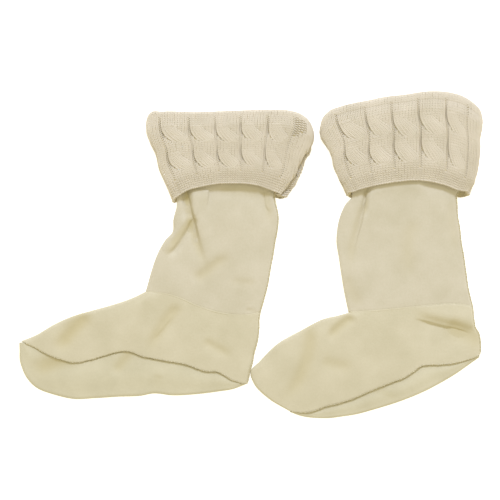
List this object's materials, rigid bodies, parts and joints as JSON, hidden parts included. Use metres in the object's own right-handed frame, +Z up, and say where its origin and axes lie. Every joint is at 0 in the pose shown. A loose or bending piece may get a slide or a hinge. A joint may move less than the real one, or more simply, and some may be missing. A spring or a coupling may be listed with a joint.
{
  "type": "pair of boot liners",
  "caption": "Pair of fleece boot liners lying flat, each with a turned-down cable-knit cuff, a leg tube, a foot upper and a folded sole.",
  "frame": {"origin": "centre of the pair's bounding box in plan, on the surface that it lies on", "axes": "+Z up from the surface, +Y up the legs towards the cuffs, +X from the toes towards the heels"},
  "size_m": [0.529, 0.3732, 0.0196],
  "materials": {
    "knit": "matte cream cable knit",
    "fleece": "matte cream brushed fleece"
  },
  "bodies": {
    "root": {"left_cuff": "knit", "left_leg": "fleece", "left_upper": "fleece", "left_sole": "fleece", "right_cuff": "knit", "right_leg": "fleece", "right_upper": "fleece", "right_sole": "fleece"}
  },
  "joints": []
}
